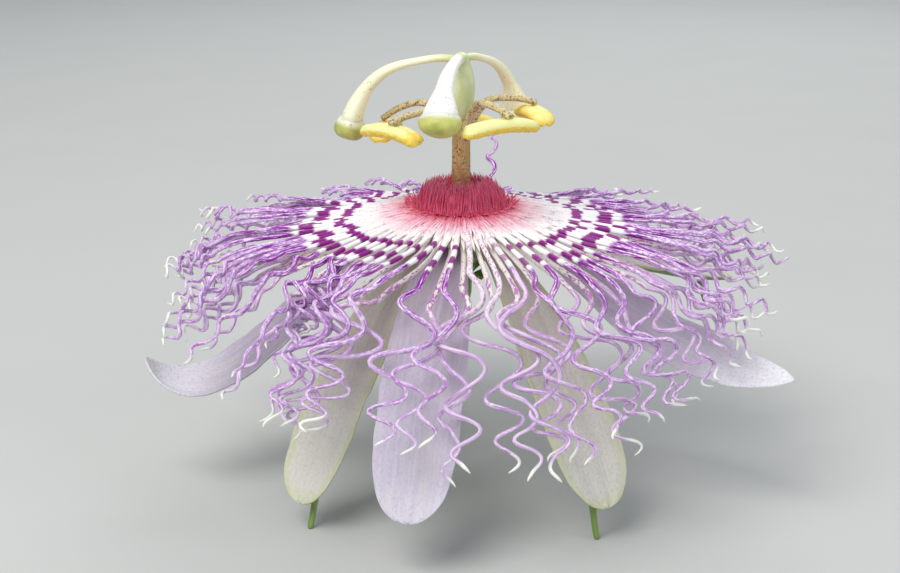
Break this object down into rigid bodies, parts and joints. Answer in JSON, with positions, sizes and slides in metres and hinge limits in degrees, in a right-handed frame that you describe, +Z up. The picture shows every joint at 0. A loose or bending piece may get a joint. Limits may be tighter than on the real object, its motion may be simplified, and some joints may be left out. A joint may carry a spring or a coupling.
{
  "type": "passion flower",
  "caption": "Open bloom with drooping petals and sepals, a banded corona of crimped filaments, and a central column with anthers and styles.",
  "frame": {"origin": "middle of the bounding box at its bottom, where the lowest awns rest on the surface", "axes": "+Z up along the central column; -Y towards the front petal; +X to the right seen from the front"},
  "size_m": [0.0736, 0.0718, 0.0494],
  "materials": {
    "stem": "living green, satin",
    "sepal": "pale green-grey, satin, green at the back and margins",
    "petal": "translucent lavender-white, satin",
    "corona": "white at the root with dark purple bands, lavender beyond, white tips",
    "pink": "pink with white tips",
    "crimson": "crimson to plum",
    "column": "tan with red-brown specks",
    "ovary": "pale yellow-green with a bloom",
    "style": "cream with faint purple specks, yellow-green stigma",
    "stamen": "tan with brown specks",
    "anther": "yellow with powdery pollen"
  },
  "bodies": {
    "root": {"stem": "stem", "floral_cup": "stem", "bract_1": "stem", "bract_2": "stem", "bract_3": "stem", "sepal_1": "sepal", "sepal_2": "sepal", "sepal_3": "sepal", "sepal_4": "sepal", "sepal_5": "sepal", "petal_1": "petal", "petal_2": "petal", "petal_3": "petal", "petal_4": "petal", "petal_5": "petal", "corona": "corona", "pink_row": "pink", "crimson_fringe": "crimson", "column": "column", "ovary": "ovary", "style_1": "style", "style_2": "style", "style_3": "style", "stamen_1": "stamen", "stamen_2": "stamen", "stamen_3": "stamen", "stamen_4": "stamen", "stamen_5": "stamen", "anther_1": "anther", "anther_2": "anther", "anther_3": "anther", "anther_4": "anther", "anther_5": "anther"}
  },
  "joints": []
}
